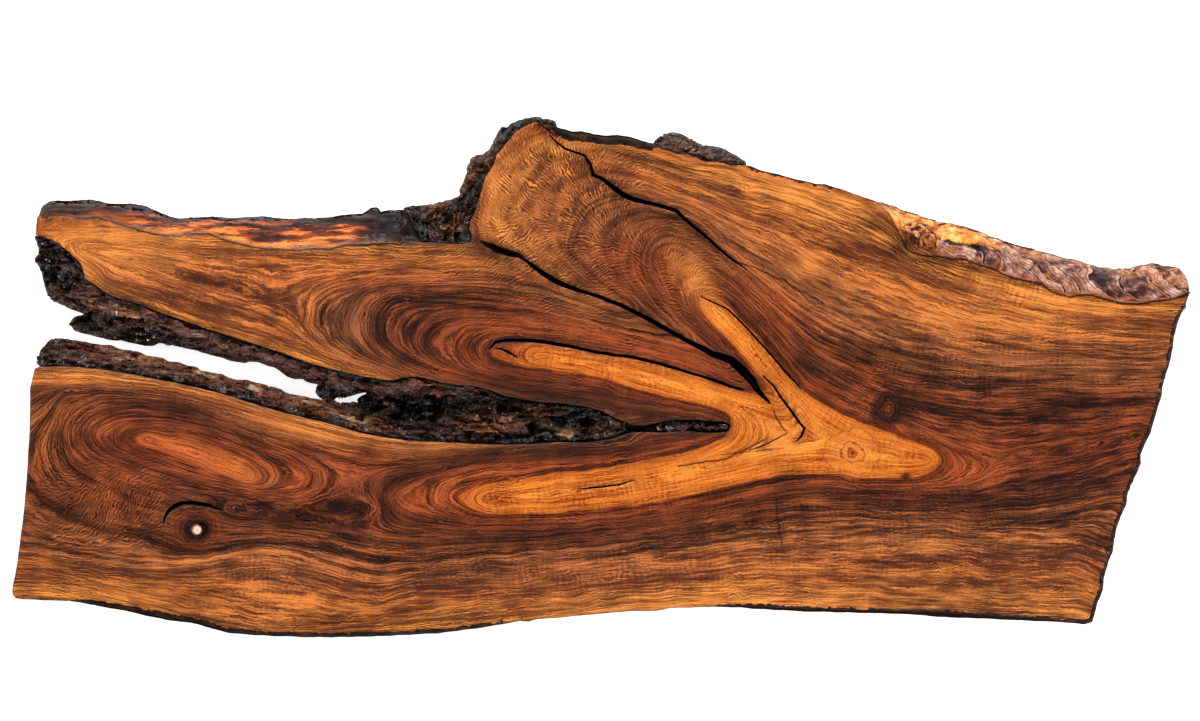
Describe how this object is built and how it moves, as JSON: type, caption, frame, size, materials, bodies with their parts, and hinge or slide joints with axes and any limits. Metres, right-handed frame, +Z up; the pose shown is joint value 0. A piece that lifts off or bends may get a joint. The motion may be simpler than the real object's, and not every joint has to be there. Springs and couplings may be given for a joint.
{
  "type": "live-edge wood slab",
  "caption": "Flat sawn walnut slab from a tree fork, with waney edges, a bark-lined split between the limbs, drying cracks and a round knot.",
  "frame": {"origin": "on the resting plane, under the middle of the slab's bounding box", "axes": "+X along the length, from the two limbs to the trunk end; +Y across the width, to the notched edge; +Z up out of the finished face"},
  "size_m": [1.2199, 0.5409, 0.05],
  "materials": {
    "walnut_wood": "sawn flat and oiled to a satin",
    "walnut_bark": "rough furrowed bark",
    "pale_core": "pale end grain, sanded"
  },
  "bodies": {
    "root": {"slab_wood": "walnut_wood", "bark_split": "walnut_bark", "bark_notch": "walnut_bark", "bark_top_patch": "walnut_bark", "knot_core": "pale_core"}
  },
  "joints": []
}
